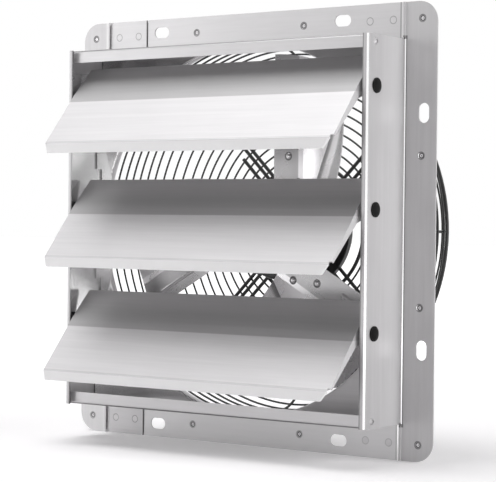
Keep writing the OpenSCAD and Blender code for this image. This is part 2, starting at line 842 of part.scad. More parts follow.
// The rear bell ends in the flange that is bolted to the plate
module motor_rear_bell() {
    flange_t = bell_t + sheet;
    color("black") difference() {
        around_y() difference() {
            union() {
                translate([0, can_back]) square([motor_r, bell_d]);
                translate([0, bell_back - flange_t]) square([mount_r, flange_t]);
                translate([0, can_back - bearing_lip]) square([boss_r, bell_d + bearing_lip + boss_out]);
            }
            difference() {
                translate([0, can_back - overrun]) square([motor_r - can_t, bell_d + overrun - bell_t]);
                translate([0, can_back - overrun]) square([boss_r, bell_d + overrun]);
            }
            bearing_seat(can_back - bearing_lip - overrun, bell_back + boss_out - bearing_lip);
        }
        vents(bell_back - bell_t - overrun, bell_back + overrun);
        for (a = [0:90:270]) turned(a) along_y(bell_back - flange_t - overrun, bell_back + overrun)
            translate([mount_bolt_at, 0]) circle(r = mount_bolt_r + seat_gap);
    }
}

core_front = can_front + core_inset;
core_back = can_back - core_inset;

module stator_core() {
    color("slategray") around_y()
        translate([rotor_r + air_gap, core_front]) square([stator_r - rotor_r - air_gap, core_back - core_front]);
}

module stator_coils() {
    color("peru") for (y = [core_front - coil_len - seat_gap, core_back + seat_gap]) around_y()
        translate([coil_in, y]) square([coil_out - coil_in, coil_len]);
}

module bearing(y0) {
    color("lightsteelblue") around_y() translate([shaft_d / 2 + run_gap, y0])
        square([bearing_r - shaft_d / 2 - run_gap, bearing_w]);
}

module front_bearing() {
    bearing(motor_front_y - boss_out + bearing_lip);
}

module rear_bearing() {
    bearing(bell_back + boss_out - bearing_lip - bearing_w);
}

// Cable inlet under the motor can
module cable_gland() {
    color("black") translate([0, (can_front + can_back) / 2, 0]) difference() {
        union() {
            translate([0, 0, -motor_r - gland_len]) cylinder(r = gland_r, h = gland_len + can_t, $fn = 6);
            translate([0, 0, -motor_r - gland_len - gland_nose_len])
                cylinder(r1 = gland_nose_r * 0.8, r2 = gland_nose_r, h = gland_nose_len);
        }
        translate([0, 0, -motor_r - gland_len - gland_nose_len - overrun])
            cylinder(r = gland_bore_r, h = gland_len + gland_nose_len + 2 * overrun);
        rotate([90, 0, 0]) cylinder(r = motor_r + seat_gap, h = motor_d, center = true);
    }
}

// Turning parts of the motor
shaft_front = fan_y - hub_flange_t - hub_len - shaft_nose;

module motor_shaft() {
    back = bell_back + boss_out - 2 * bearing_lip;
    color("lightgray") around_y() translate([0, shaft_front]) square([shaft_d / 2, back - shaft_front]);
}

module rotor_core() {
    color("slategray") around_y() translate([shaft_d / 2 + seat_gap, core_front])
        square([rotor_r - shaft_d / 2 - seat_gap, core_back - core_front]);
}

module hub() {
    color("silver") difference() {
        around_y() {
            translate([shaft_d / 2 + seat_gap, fan_y - hub_flange_t])
                square([hub_flange_r - shaft_d / 2 - seat_gap, hub_flange_t]);
            translate([shaft_d / 2 + seat_gap, fan_y - hub_flange_t - hub_len])
                square([hub_r - shaft_d / 2 - seat_gap, hub_len]);
        }
        translate([0, fan_y - hub_flange_t - hub_len / 2, 0]) cylinder(r = set_screw_r + seat_gap, h = hub_r + overrun);
        for (i = [0:blade_n - 1]) turned(hub_rivet_a + 360 / blade_n * i) along_y(0, motor_front_y)
            translate([hub_rivet_at, 0]) circle(r = hub_rivet_r + seat_gap);
    }
}

module hub_set_screw() {
    color("dimgray") translate([0, fan_y - hub_flange_t - hub_len / 2, 0]) difference() {
        translate([0, 0, shaft_d / 2 + seat_gap]) cylinder(r = set_screw_r, h = hub_r - shaft_d / 2 - recess_d);
        translate([0, 0, hub_r - 2 * recess_d]) cylinder(r = set_screw_r / 2, h = hub_r, $fn = 6);
    }
}

module hub_rivets() {
    for (i = [0:blade_n - 1]) turned(hub_rivet_a + 360 / blade_n * i) translate([hub_rivet_at, 0, 0]) color("silver")
        around_y() rivet_profile(hub_rivet_r, 1.6 * hub_rivet_r, hub_rivet_r / 2, fan_y - hub_flange_t, fan_y + spider_t);
}

// Spider plate: a disc with one broad round-ended arm behind each blade
module spider() {
    color("silver") difference() {
        along_y(fan_y, fan_y + spider_t) {
            circle(r = spider_r);
            for (i = [0:blade_n - 1]) rotate(arm_a + 360 / blade_n * i) {
                translate([0, -arm_w / 2]) square([arm_len, arm_w]);
                translate([arm_len, 0]) circle(d = arm_w);
            }
        }
        along_y(0, motor_front_y) circle(d = shaft_d + 2 * seat_gap);
        for (i = [0:blade_n - 1]) {
            turned(hub_rivet_a + 360 / blade_n * i) along_y(0, motor_front_y)
                translate([hub_rivet_at, 0]) circle(r = hub_rivet_r + seat_gap);
            turned(360 / blade_n * i) for (p = blade_rivets_at) along_y(0, motor_front_y)
                translate(p) circle(r = blade_rivet_r + seat_gap);
        }
    }
}

// Section across a blade: a flat band, a bend, then an arc that sweeps forward
module blade_section_2d() {
    reach = tip_r;
    translate([0, blade_front]) square([band_w, blade_sheet]);
    translate([band_w, fan_y]) rotate(-blade_bend) intersection() {
        translate([0, -blade_curve_r]) difference() {
            circle(r = blade_curve_r, $fn = 180);
            circle(r = blade_curve_r - blade_sheet, $fn = 180);
        }
        translate([-blade_sheet * sin(blade_bend), -blade_curve_r]) square([reach, 2 * blade_curve_r]);
    }
}

// Where a circle of radius r round the axis meets the trailing circle grown by g
function tip_corner(r, g) =
    let (dx = trail_cx, dz = trail_cz, R = trail_r + g,
        d2 = dx * dx + dz * dz,
        k = (r * r - R * R + d2) / (2 * d2),
        h = sqrt(r * r / d2 - k * k))
    [k * dx + h * dz, k * dz - h * dx];

module blade_outline_2d() {
    round_at = tip_corner(tip_r - tip_round_r, -tip_round_r);
    corner = tip_corner(tip_r, 0);
    on_tip = round_at * tip_r / (tip_r - tip_round_r);
    trail_c = [trail_cx, trail_cz];
    on_trail = trail_c + (round_at - trail_c) * trail_r / (trail_r - tip_round_r);
    difference() {
        intersection() {
            circle(r = tip_r);
            translate(trail_c) circle(r = trail_r);
            translate([lead_x, root_z]) square(fan_d);
        }
        difference() {
            polygon([round_at, on_tip, corner + (corner - round_at) / 4, on_trail]);
            translate(round_at) circle(r = tip_round_r + seat_gap);
        }
    }
}

module blade(i) {
    color("lightgray") turned(first_blade_a + 360 / blade_n * i) difference() {
        union() {
            intersection() {
                linear_extrude(height = tip_r + overrun) blade_section_2d();
                along_y(-tip_r, motor_front_y) blade_outline_2d();
            }
            intersection() {
                translate([bead_x, blade_front + bead_r - bead_rise, bead_z]) cylinder(r = bead_r, h = bead_len);
                translate([0, blade_front - bead_r, 0]) cube([band_w, bead_r + blade_sheet / 2, tip_r]);
            }
        }
        for (p = blade_rivets_at) along_y(0, motor_front_y) translate(p) circle(r = blade_rivet_r + seat_gap);
    }
}

module blade_1() {
    blade(0);
}

module blade_2() {
    blade(1);
}

module blade_3() {
    blade(2);
}

module blade_rivets() {
    for (i = [0:blade_n - 1], p = blade_rivets_at) turned(first_blade_a + 360 / blade_n * i) color("whitesmoke")
        around_y_at(p) rivet_profile(blade_rivet_r, blade_rivet_head_r, blade_rivet_head_t, blade_front, fan_y + spider_t);
}

left_rail();
right_rail();
top_rail();
bottom_rail();
splice_plates();
corner_gussets();
orifice_panel();
corner_rivets();
corner_screws();
guard_screws();
flange_nuts();
housing_screws();
top_louver();
middle_louver();
bottom_louver();
top_louver_pins();
middle_louver_pins();
bottom_louver_pins();
pivot_bushings();
pivot_caps();
guard_side_rings();
guard_back_rings();
guard_center_ring();
guard_rods();
guard_stays();
guard_spreaders();
guard_feet();
motor_plate();
motor_bolts();
motor_rear_bell();
motor_can();
motor_front_bell();
stator_core();
stator_coils();
front_bearing();
rear_bearing();
cable_gland();
rotor_core();
motor_shaft();
hub();
hub_set_screw();
hub_rivets();
spider();
blade_1();
blade_2();
blade_3();
blade_rivets();
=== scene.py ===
"""Looks of the window exhaust fan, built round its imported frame.

Lengths are in metres, and in millimetres where a comment or a name says so. A pair of places is where a mark
starts and where it is full, or the two sides of a band.
"""

import math

import bpy
from mathutils import Matrix, Vector


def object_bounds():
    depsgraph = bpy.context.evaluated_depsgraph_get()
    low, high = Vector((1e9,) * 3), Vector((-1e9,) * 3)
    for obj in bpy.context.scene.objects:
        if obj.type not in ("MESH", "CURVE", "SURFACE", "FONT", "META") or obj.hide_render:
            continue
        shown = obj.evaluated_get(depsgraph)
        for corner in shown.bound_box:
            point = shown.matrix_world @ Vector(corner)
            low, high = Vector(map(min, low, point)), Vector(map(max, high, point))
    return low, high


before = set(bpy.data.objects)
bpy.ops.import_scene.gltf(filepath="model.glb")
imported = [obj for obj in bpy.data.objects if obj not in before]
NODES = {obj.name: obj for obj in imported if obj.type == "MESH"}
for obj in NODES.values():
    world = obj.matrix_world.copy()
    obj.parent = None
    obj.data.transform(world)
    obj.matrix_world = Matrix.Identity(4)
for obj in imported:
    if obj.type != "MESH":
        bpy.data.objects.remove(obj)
CAD_BOX = [list(v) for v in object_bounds()]

# Camera, at the photograph's angle

FLANGE_MM = 368
FITTED_MM = 414
FIT = FLANGE_MM / FITTED_MM
FOCAL_PX = 1813
IMAGE_W_PX = 496
SENSOR_MM = 36
AZIMUTH = math.radians(35.76)
ELEVATION = math.radians(0.63)
ROLL = math.radians(0.61)
DISTANCE = 1.686 * FIT
SLIDE_RIGHT = 0.0377 * FIT
SLIDE_UP = -0.0109 * FIT
FRONT_Y = -0.0628 * FIT
CLIP_NEAR = 0.05
CLIP_FAR = 60


def add_camera():
    """Look at the part's front from the right, then slide the view aside.

    The distances were fitted to a flange of another size, so FIT scales them.
    """
    back = Vector((math.sin(AZIMUTH) * math.cos(ELEVATION), -math.cos(AZIMUTH) * math.cos(ELEVATION),
                   math.sin(ELEVATION)))
    flat_right = Vector((math.cos(AZIMUTH), math.sin(AZIMUTH), 0))
    flat_up = back.cross(flat_right)
    right = math.cos(ROLL) * flat_right + math.sin(ROLL) * flat_up
    up = math.cos(ROLL) * flat_up - math.sin(ROLL) * flat_right
    place = Vector((0, FRONT_Y, 0)) + back * DISTANCE + right * SLIDE_RIGHT + up * SLIDE_UP
    data = bpy.data.cameras.new("camera")
    data.sensor_width = SENSOR_MM
    data.lens = FOCAL_PX / IMAGE_W_PX * SENSOR_MM
    data.clip_start = CLIP_NEAR
    data.clip_end = CLIP_FAR
    camera = bpy.data.objects.new("camera", data)
    bpy.context.scene.collection.objects.link(camera)
    turn = Matrix((right, up, back)).transposed()
    camera.matrix_world = Matrix.Translation(place) @ turn.to_4x4()
    bpy.context.scene.camera = camera


add_camera()

# Material nodes

IN_MM = (1000, 1000, 1000)
EVEN = (1, 1, 1)
RAMP_START = 0.3
RAMP_END = 0.7
MIX_FACTOR = 0
MIX_BELOW = 6
MIX_ABOVE = 7
MIX_RESULT = 2
TINT = (1.007, 0.993, 1.007)
WHITE = (1, 1, 1)


def grey(value):
    """A grey with the photograph's faint tint."""
    return tuple(value * part for part in TINT)


class Paint:
    """A node material with small helpers for procedural detail. A mask is a number from 0 to 1."""

    def __init__(self, name):
        self.mat = bpy.data.materials.new(name)
        self.mat.use_nodes = True
        self.tree = self.mat.node_tree
        self.shader = self.tree.nodes["Principled BSDF"]
        self.coords = self.node("ShaderNodeTexCoord")
        self.places = None

    def node(self, kind, **values):
        """A new node with some of its properties set."""
        made = self.tree.nodes.new(kind)
        for key, value in values.items():
            setattr(made, key, value)
        return made

    def link(self, source, socket):
        self.tree.links.new(source, socket)

    def feed(self, socket, value):
        """Set a socket to a number or a colour, or link a node's output to it."""
        if isinstance(value, (int, float)):
            socket.default_value = value
        elif isinstance(value, tuple):
            socket.default_value = (*value, 1)
        else:
            self.link(value, socket)

    def math(self, operation, *values):
        made = self.node("ShaderNodeMath", operation=operation)
        for socket, value in zip(made.inputs, values):
            self.feed(socket, value)
        return made.outputs[0]

    def chain(self, operation, values):
        """One operation over all the values in turn."""
        total, *rest = values
        for value in rest:
            total = self.math(operation, total, value)
        return total

    def all_of(self, *masks):
        return self.chain("MULTIPLY", masks)

    def any_of(self, *masks):
        return self.chain("MAXIMUM", masks)

    def share(self, mask, mark):
        """A mask at the strength of its mark."""
        return self.math("MULTIPLY", mask, STRENGTH[mark])

    def spread(self, mask, low, high):
        """A number from low to high."""
        made = self.node("ShaderNodeMapRange")
        made.inputs["To Min"].default_value = low
        made.inputs["To Max"].default_value = high
        self.link(mask, made.inputs["Value"])
        return made.outputs["Result"]

    def rise(self, value, start, end):
        """A mask that grows smoothly from start, where it is 0, to end, where it is 1."""
        made = self.node("ShaderNodeMapRange", interpolation_type="SMOOTHSTEP")
        made.inputs["From Min"].default_value = start
        made.inputs["From Max"].default_value = end
        self.link(value, made.inputs["Value"])
        return made.outputs["Result"]

    def band(self, value, low, high, soft=0.25):
        """A mask that is 1 between low and high."""
        above = self.rise(value, low - soft, low + soft)
        return self.all_of(above, self.rise(value, high + soft, high - soft))

    def mapped(self, scale):
        """Object coordinates, scaled along each axis."""
        mapping = self.node("ShaderNodeMapping")
        mapping.inputs["Scale"].default_value = scale
        self.link(self.coords.outputs["Object"], mapping.inputs["Vector"])
        return mapping.outputs["Vector"]

    def place(self):
        """Object coordinates: X, Y, Z and the absolute values of X and Z, in millimetres."""
        if self.places is None:
            parts = self.node("ShaderNodeSeparateXYZ")
            self.link(self.mapped(IN_MM), parts.inputs[0])
            x, y, z = parts.outputs
            self.places = {"x": x, "y": y, "z": z}
            self.places["ax"] = self.math("ABSOLUTE", x)
            self.places["az"] = self.math("ABSOLUTE", z)
        return self.places

    def along(self, axis):
        """How far the place lies along an axis, in millimetres."""
        made = self.node("ShaderNodeVectorMath", operation="DOT_PRODUCT")
        made.inputs[1].default_value = axis
        self.link(self.mapped(IN_MM), made.inputs[0])
        return made.outputs["Value"]

    def facing(self, axis):
        """How squarely the surface faces along an axis, 0 to 1."""
        parts = self.node("ShaderNodeSeparateXYZ")
        self.link(self.coords.outputs["Normal"], parts.inputs[0])
        return self.math("ABSOLUTE", parts.outputs[axis])

    def gaps(self, x, z, points):
        """Distances in the X-Z plane from the spot x, z to each of some points."""
        spot = self.node("ShaderNodeCombineXYZ")
        self.link(x, spot.inputs["X"])
        self.link(z, spot.inputs["Z"])
        found = []
        for point_x, point_z in points:
            gap = self.node("ShaderNodeVectorMath", operation="DISTANCE")
            gap.inputs[1].default_value = (point_x, 0, point_z)
            self.link(spot.outputs[0], gap.inputs[0])
            found.append(gap.outputs["Value"])
        return found

    def nearest(self, points):
        """Distance in the X-Z plane to the nearest of some points and their mirror images."""
        return self.chain("MINIMUM", self.gaps(self.place()["ax"], self.place()["az"], points))

    def noise(self, scale, stretch=EVEN, detail=3, rough=0.5):
        """Noise whose scale is one over its size in metres, times stretch along each axis."""
        made = self.node("ShaderNodeTexNoise")
        made.inputs["Scale"].default_value = scale
        made.inputs["Detail"].default_value = detail
        made.inputs["Roughness"].default_value = rough
        self.link(self.mapped(stretch), made.inputs["Vector"])
        return made.outputs["Fac"]

    def worn(self, scale, low, high, detail=3):
        """Roughness from low to high, by a noise."""
        return self.spread(self.noise(scale, detail=detail), low, high)

    def stops(self, source, steps):
        """Colours at steps of a number, blended between them."""
        made = self.node("ShaderNodeValToRGB")
        marks = made.color_ramp.elements
        marks[0].position = steps[0][0]
        marks[1].position = steps[-1][0]
        for position, _ in steps[1:-1]:
            marks.new(position)
        for mark, (_, color) in zip(marks, steps):
            mark.color = (*color, 1)
        self.link(source, made.inputs["Fac"])
        return made.outputs["Color"]

    def greys(self, source, steps):
        """Greys at steps of a number."""
        return self.stops(source, [(position, grey(value)) for position, value in steps])

    def ramp(self, source, low, high):
        """From one colour to another over the middle of a pattern's range."""
        return self.stops(source, ((RAMP_START, low), (RAMP_END, high)))

    def mix(self, factor, below, above):
        """One colour over another."""
        made = self.node("ShaderNodeMix", data_type="RGBA")
        self.feed(made.inputs[MIX_FACTOR], factor)
        self.feed(made.inputs[MIX_BELOW], below)
        self.feed(made.inputs[MIX_ABOVE], above)
        return made.outputs[MIX_RESULT]

    def bump(self, height, distance, strength, below=None):
        """A bumpy normal, over another one where that is given."""
        made = self.node("ShaderNodeBump")
        made.inputs["Strength"].default_value = strength
        made.inputs["Distance"].default_value = distance
        self.link(height, made.inputs["Height"])
        if below is not None:
            self.link(below, made.inputs["Normal"])
        return made.outputs["Normal"]

    def use(self, color, rough, normal=None, metal=0.0, coat=0.0, specular=0.5):
        """Give the shader its values and return the material."""
        inputs = self.shader.inputs
        self.feed(inputs["Base Color"], color)
        self.feed(inputs["Roughness"], rough)
        if normal is not None:
            self.link(normal, inputs["Normal"])
        self.feed(inputs["Metallic"], metal)
        self.feed(inputs["Coat Weight"], coat)
        self.feed(inputs["Specular IOR Level"], specular)
        return self.mat


# Places of the painted shade, painted highlights and other marks on the sheet metal, in millimetres

HALF_BOX = 154.5
BOX_FRONT = -56
SHEET = 1.2
MINUS_SIDE = (1, -1)
PLUS_SIDE = (-1, 1)

SCREWS = ((170.2, 170.2), (56, 170.2), (170.2, 60.7))
# Rims of painted shade round the screws, with some dirt, and round the splice rivets
SCREW_RIM = (2.5, 3.3)
SPLICE_RIVETS = ((121, 170.2), (143, 170.2))
RIVET_RIM = (2.4, 3.3)
RIM_SOFT = 0.3
EDGE_SOFT = 0.05

RAIL_LENGTH = (HALF_BOX + 0.3, HALF_BOX - 0.3)
WALL_OUTSIDE = (HALF_BOX - 0.7, HALF_BOX - 0.3)
WALL_INSIDE = (HALF_BOX - 0.7, HALF_BOX - 1.1)
# Where the painted shade at the wall's front and the painted light at its back start and are full
WALL_FORE = (-30, -52)
WALL_AFT = (-40, -4)
WALL_MIDDLE = (142, 130)
WALL_FOOT = (-0.8, 0.3)
FRONT_BEND = (-49, -50)
BACK_BEND = (-7, -6)
CORNER_ENDS = (142, 144)
CORNER_INSIDE = (HALF_BOX - 0.9, HALF_BOX - 1.1)
CORNER_FRONT = (BOX_FRONT + 5.4, BOX_FRONT + 4.4)
SEAM = (HALF_BOX + 0.4, HALF_BOX + 1.6)
RELIEF_WIDTH = (HALF_BOX - 2, HALF_BOX + 2)
RELIEF_HEIGHT = (HALF_BOX - 0.6, HALF_BOX + 2.6)
RELIEF_DEPTH = (-5, -4.5)
STRIP_START = (HALF_BOX - 3.7, HALF_BOX - 4.3)
STRIP_FRONT = (BOX_FRONT + 2, BOX_FRONT + 1)
SLOTTED = (158, 159)
BEAD = (-158.4, -153)

FLANGE = (HALF_BOX, HALF_BOX + 1)
FLANGE_DEPTH = (-1, -0.5)
FLANGE_FOOT = (HALF_BOX, HALF_BOX + 1.2)
LIP = (BOX_FRONT + 8, BOX_FRONT + 6)
LIP_CREST = (HALF_BOX - 1.5, HALF_BOX - 0.9)
LIP_END = (1.6 - HALF_BOX, 1.3 - HALF_BOX)
JOINT = (149.6, 150.7)
HEM = (151, 152.9)
SPLICE_JOINT = (109.5, 112.2)
SPLICE_END = (152.2, 154)

LOUVER_START = 139.7
LOUVER_PITCH = 97.2
# Down each louver from its top edge: where its painted shade grows, then where it eases before the crease
LOUVER_SHADED_SPAN = (2, 20)
LOUVER_CREASE = 30.8
LOUVER_UPPER = (LOUVER_CREASE + 0.4, LOUVER_CREASE - 0.4)
LOUVER_SHADE_EASE = (18, LOUVER_CREASE)
LOUVER_FOLD = 67.5
FOLD_LINE = (LOUVER_FOLD - 1.2, LOUVER_FOLD - 0.2)
LOUVER_LIP = (LOUVER_FOLD, LOUVER_FOLD + 0.6)

PANEL_FRONT = (2, 1.6)
PANEL_TOP = (104, 130)
PANEL_LEFT = (30, -60)
PANEL_SIDE = (151, 151.6)
PANEL_SIDE_DEPTH = (-2, -3)

# How squarely the surface faces an axis where a mark starts and where it is full

SQUARE_ON = (0.6, 0.8)
EDGE_ON = (0.6, 0.4)
EAR_ON = (0.5, 0.8)
BEND_MIDDLE = (0.3, 0.42)

# How strong the marks are, most of them painted shade or painted highlights

STRENGTH = {
    # Screw rims: painted shade in the countersink gap, with some dirt. Rivet rims: painted shade in the gap
    # round the head
    "screw rim": 0.85,
    "rivet rim": 0.65,
    "cut edge": 0.55,
    "wall fore": 0.2,
    "wall aft": 0.3,
    "corner": 0.85,
    "seam": 0.7,
    "relief": 0.85,
    "strip": 0.6,
    "bead": 0.3,
    "left bottom flange": 0.22,
    "bottom flange": 0.3,
    "flange foot": 0.6,
    "lip crest": 0.85,
    "lip end": 0.7,
    "joint": 0.6,
    "splice joint": 0.8,
    "splice end": 0.15,
    "louver shade ease": 0.14,
    "louver fold": 0.18,
    "louver ear": 0.3,
    "louver lip": 0.95,
    "panel shade": 0.62,
    "panel cut edge": 0.9,
    "panel gloss": 0.75,
}
# Strength of the hem's painted highlight on the bottom rail and on the top one
HEM_SHARES = (0.9, 0.16)
# Patches of the painted reflection on the rails' inside faces
SHEEN_PATCHES = 25
SHEEN_PATCH_STRETCH = (1, 1, 0.6)
SHEEN_PATCH_SHARES = (0.2, 1.1)
# Strength of the louvers' painted shade at the top edge and further down
LOUVER_SHADE_SHARES = (0.38, 0.6)
# How strongly the panel's painted reflection shows, less where it is painted with shade
PANEL_LIGHT_SHARES = (0.6, 0)


def rims(p, points, rim):
    """Rings round some points and their mirror images."""
    return p.band(p.nearest(points), *rim, RIM_SOFT)


def cut_edge(p):
    """The cut edge of the flange's sheet, outside and in the slots, where it is painted with shade."""
    return p.all_of(p.rise(p.facing("Y"), *EDGE_ON), p.band(p.place()["y"], 0, SHEET, EDGE_SOFT))


def side_marks(p):
    """Left and right rail. Painted highlights on the bends, the bead and the inside face, painted light at
    the wall's back and on the bottom flange; painted shade at the wall's front, seam, reliefs, lip edge, cut
    edges and corners, and painted shade with some dirt in the screw rims.
    """
    at = p.place()
    square = p.rise(p.facing("X"), *SQUARE_ON)
    left = p.rise(at["x"], *MINUS_SIDE)
    along = p.rise(at["az"], *RAIL_LENGTH)
    flange = p.all_of(p.rise(at["az"], *FLANGE), p.rise(at["y"], *FLANGE_DEPTH))

    # Painted highlight: the front and back bends go toward white, and they are made glossy as well
    bend = p.all_of(p.rise(p.math("MULTIPLY", p.facing("X"), p.facing("Y")), *BEND_MIDDLE), along,
                    p.any_of(p.rise(at["y"], *FRONT_BEND), p.rise(at["y"], *BACK_BEND)))
    wall = p.all_of(square, p.rise(at["ax"], *WALL_OUTSIDE))
    # Painted light: the wall's outside grows lighter towards its back
    aft = p.all_of(wall, p.share(p.rise(at["y"], *WALL_AFT), "wall aft"))
    # Painted highlight on the left rail's bead and on the edge of the gap beside the splice plate
    bead = p.all_of(flange, p.band(at["x"], *BEAD))
    # Painted light on the left rail's bottom flange, where light from the floor would fall
    below = p.all_of(flange, p.rise(at["z"], *MINUS_SIDE), left)
    # Painted reflection in patches on the wall's inside face, which is made glossy as well
    inside = p.all_of(square, p.rise(at["ax"], *WALL_INSIDE), p.rise(at["az"], *WALL_MIDDLE),
                      p.spread(p.noise(SHEEN_PATCHES, SHEEN_PATCH_STRETCH, detail=2), *SHEEN_PATCH_SHARES))
    light = p.any_of(bend, aft, p.share(bead, "bead"), p.share(below, "left bottom flange"), inside)

    # Painted shade: the wall's outside grows darker towards its front
    fore = p.all_of(wall, p.share(p.rise(at["y"], *WALL_FORE), "wall fore"))
    # Painted shade in the inside corners at the top and bottom of the left wall
    corner = p.all_of(left, square, p.rise(at["az"], *CORNER_ENDS), p.rise(at["ax"], *CORNER_INSIDE),
                      p.rise(at["y"], *CORNER_FRONT))
    # Painted shadow line where the wall meets the flange
    seam = p.all_of(along, p.band(at["ax"], *SEAM), p.band(at["y"], *WALL_FOOT))
    # Painted shade in the relief notches at the box's corners
    relief = p.all_of(p.band(at["ax"], *RELIEF_WIDTH), p.band(at["az"], *RELIEF_HEIGHT),
                      p.rise(at["y"], *RELIEF_DEPTH))
    # Painted shade along the inner edge of the front lip
    strip = p.all_of(p.rise(at["ax"], *STRIP_START), p.rise(at["y"], *STRIP_FRONT))
    # Painted shade on the flange's cut edges, outside and in the slots
    edge = p.all_of(cut_edge(p), p.rise(at["ax"], *SLOTTED))
    # All of these are painted shade; the screw rims carry some dirt as well
    dark = p.any_of(fore, p.share(corner, "corner"), p.share(seam, "seam"), p.share(relief, "relief"),
                    p.share(strip, "strip"), p.share(edge, "cut edge"),
                    p.share(rims(p, SCREWS, SCREW_RIM), "screw rim"))
    return dark, light, p.any_of(bend, inside)


def cross_marks(p):
    """Top and bottom rail: painted shade along the lip crest, at the lip end, the foot, the joint, the cut
    edges and the rivet rims, painted shade with some dirt in the screw rims, painted light on the bottom
    flange, and a painted highlight on the hem at the right-hand joint.
    """
    at = p.place()
    flange = p.rise(at["az"], *FLANGE)
    lip = p.rise(at["y"], *LIP)

    # Painted highlight on the hem, strong on the bottom rail and faint on the top one
    hem = p.all_of(flange, p.band(at["x"], *HEM), p.spread(p.rise(at["z"], *PLUS_SIDE), *HEM_SHARES))
    # Painted light on the bottom flange, where light from the floor would fall
    below = p.all_of(flange, p.rise(at["z"], *MINUS_SIDE))
    light = p.any_of(hem, p.share(below, "bottom flange"))

    # Painted shade along the fold at the lip's crest
    crest = p.all_of(lip, p.rise(at["az"], *LIP_CREST))
    # Painted shade in the gap at the lip's left end
    end = p.all_of(lip, p.rise(at["x"], *LIP_END))
    # Painted shade where the flange meets the box wall
    foot = p.all_of(p.band(at["az"], *FLANGE_FOOT), p.band(at["y"], *WALL_FOOT))
    # Painted shade in the joint's gap
    joint = p.all_of(flange, p.band(at["x"], *JOINT))
    # Painted shade in the gaps round the splice rivets
    rivets = p.all_of(flange, rims(p, SPLICE_RIVETS, RIVET_RIM))
    dark = p.any_of(p.share(crest, "lip crest"), p.share(end, "lip end"), p.share(foot, "flange foot"),
                    p.share(joint, "joint"), p.share(rivets, "rivet rim"), p.share(cut_edge(p), "cut edge"),
                    p.share(rims(p, SCREWS, SCREW_RIM), "screw rim"))
    return dark, light, hem


def louver_marks(p):
    """Painted shade above each louver's crease, eased just above it, a fine line of painted shade beside the
    fold, painted shade on the ends, and a painted highlight on the lip.
    """
    down = p.math("MODULO", p.math("SUBTRACT", LOUVER_START, p.place()["z"]), LOUVER_PITCH)
    # Painted shade over each louver's upper part, above the crease
    painted_shade = p.spread(p.rise(down, *LOUVER_SHADED_SPAN), *LOUVER_SHADE_SHARES)
    # The painted shade eases just above the crease
    painted_shade = p.math("SUBTRACT", painted_shade, p.share(p.rise(down, *LOUVER_SHADE_EASE), "louver shade ease"))
    upper = p.all_of(p.rise(down, *LOUVER_UPPER), painted_shade)
    # Painted shade in a fine line beside the fold
    fold = p.band(down, *FOLD_LINE)
    # Painted shade on the louver's ends, which face sideways
    ear = p.rise(p.facing("X"), *EAR_ON)
    dark = p.any_of(upper, p.share(fold, "louver fold"), p.share(ear, "louver ear"))
    # Painted highlight on the lip below the fold
    return dark, p.share(p.rise(down, *LOUVER_LIP), "louver lip"), None


def splice_marks(p):
    """Splice plates: painted shade in the gaps round the rivets and at the joint edge, the cut edges and a
    painted highlight at the other end.
    """
    at = p.place()
    # Painted shadow of the plate's edge at the joint
    joint = p.band(at["ax"], *SPLICE_JOINT)
    dark = p.any_of(p.share(rims(p, SPLICE_RIVETS, RIVET_RIM), "rivet rim"), p.share(joint, "splice joint"),
                    p.share(cut_edge(p), "cut edge"))
    # Painted highlight on the plate's end beside the gap
    return dark, p.share(p.band(at["ax"], *SPLICE_END), "splice end"), None


def panel_marks(p):
    """Panel: painted shade at the top of its front, gloss with a painted reflection at the left of its front,
    and painted shade on the cut edges of its side flanges.
    """
    at = p.place()
    front = p.rise(at["y"], *PANEL_FRONT)
    # Painted shade over the top of the panel's front
    painted_shade = p.all_of(front, p.share(p.rise(at["z"], *PANEL_TOP), "panel shade"))
    # Painted shade on the cut edges of the side flanges
    edge = p.all_of(p.rise(at["ax"], *PANEL_SIDE), p.rise(p.facing("X"), *EDGE_ON),
                    p.rise(at["y"], *PANEL_SIDE_DEPTH))
    dark = p.any_of(painted_shade, p.share(edge, "panel cut edge"))
    # Gloss, and a painted reflection toward white, at the left of the front
    polish_and_sheen = p.all_of(front, p.rise(at["x"], *PANEL_LEFT))
    return dark, p.all_of(polish_and_sheen, p.spread(dark, *PANEL_LIGHT_SHARES)), p.share(polish_and_sheen, "panel gloss")


# Sheet metal

SHADE = 0.12
LINES = 260
LINES_SHARE = 0.35
LINES_DARK = 0.9
LINES_LIGHT = 1.06
LINES_DEPTH = 0.00002
SPECKS_DEPTH = 0.000012
SMUDGES = 30
SHEET_ROUGH = (0.3, 0.42)
GLOSS_ROUGH = 0.3


def brushed(name, low, high, stretch, metal, rough=SHEET_ROUGH, marks=None):
    """Rolled or brushed sheet: fine lines along one axis, faint clouds and specks, then marks of its own:
    painted shade, painted highlights and gloss.
    """
    p = Paint(name)
    lines = p.noise(LINES, stretch, detail=4, rough=0.65)
    clouds = p.ramp(p.noise(scale=9), grey(low), grey(high))
    tone = p.mix(LINES_SHARE, clouds, p.ramp(lines, grey(low * LINES_DARK), grey(high * LINES_LIGHT)))
    worn = p.worn(SMUDGES, *rough, detail=4)
    normal = p.bump(lines, LINES_DEPTH, strength=0.5)
    normal = p.bump(p.noise(scale=900, detail=2), SPECKS_DEPTH, strength=0.3, below=normal)
    if marks is None:
        return p.use(tone, worn, normal, metal)
    # Dark marks take the tone toward SHADE and light ones toward white: painted shade and painted highlights
    dark, light, gloss = marks(p)
    tone = p.mix(light, p.mix(dark, tone, grey(SHADE)), WHITE)
    if gloss is None:
        return p.use(tone, worn, normal, metal)
    worn = p.math("MULTIPLY", worn, p.spread(gloss, 1, GLOSS_ROUGH))
    return p.use(tone, worn, normal, p.spread(gloss, metal, 1))


# Blades, each across from its leading edge and along from the shaft, in millimetres

BLADE_BAND = (25.7, 26.9)
BLADE_CREASE = 24.5
CREASE_SLOPE = 0.52
CREASE_SOFT = (-0.3, 0.3)
